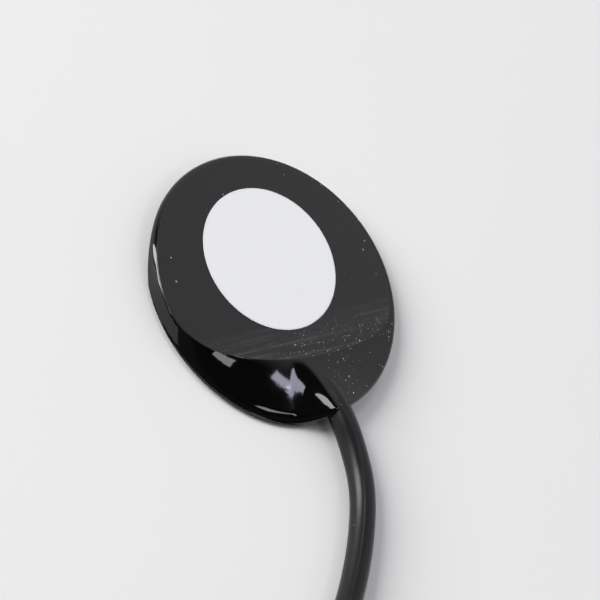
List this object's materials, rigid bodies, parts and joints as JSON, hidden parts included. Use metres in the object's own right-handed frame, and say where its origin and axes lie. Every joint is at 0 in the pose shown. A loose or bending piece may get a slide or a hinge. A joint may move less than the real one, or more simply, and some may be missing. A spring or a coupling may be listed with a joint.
{
  "type": "piezo contact pickup",
  "caption": "Flat round contact pickup cast in black resin, with a white spot on its face and a thin coiled lead that ends in a mini plug.",
  "frame": {"origin": "centre of the round head's flat underside, the face that is stuck to an instrument", "axes": "+Z out of the labelled face, +X the way the lead leaves the head"},
  "size_m": [0.0789, 0.0432, 0.008],
  "materials": {
    "cast_resin": "glossy black cast resin",
    "matt_film": "black film, lightly scuffed",
    "white_label": "smooth white",
    "plate_brass": "rolled",
    "ceramic": "fired ceramic",
    "fired_silver": "matt silver",
    "tinned_copper": "tinned",
    "core_insulation": "milky white",
    "solder": "bright solder",
    "cable_jacket": "satin dark grey",
    "handle_metal": "nickel plated",
    "plug_nickel": "nickel plated",
    "lug_tin": "tinned sheet",
    "plug_insulator": "black moulding",
    "liner_film": "thin clear-white tube"
  },
  "bodies": {
    "root": {"brass_plate": "plate_brass", "cable_coil": "cable_jacket", "cable_lead": "cable_jacket", "cable_tail": "cable_jacket", "face_film": "matt_film", "ground_lug": "lug_tin", "ground_solder": "solder", "head_conductor": "tinned_copper", "head_dielectric": "core_insulation", "head_shield": "tinned_copper", "piezo_ceramic": "ceramic", "plug_conductor": "tinned_copper", "plug_dielectric": "core_insulation", "plug_handle": "handle_metal", "plug_liner": "liner_film", "plug_shield": "tinned_copper", "plug_sleeve": "plug_nickel", "plug_tip": "plug_nickel", "rear_insulator": "plug_insulator", "resin_body": "cast_resin", "signal_solder": "solder", "silver_electrode": "fired_silver", "sleeve_solder": "solder", "tip_insulator": "plug_insulator", "tip_lug": "lug_tin", "tip_solder": "solder", "white_label": "white_label"}
  },
  "joints": []
}
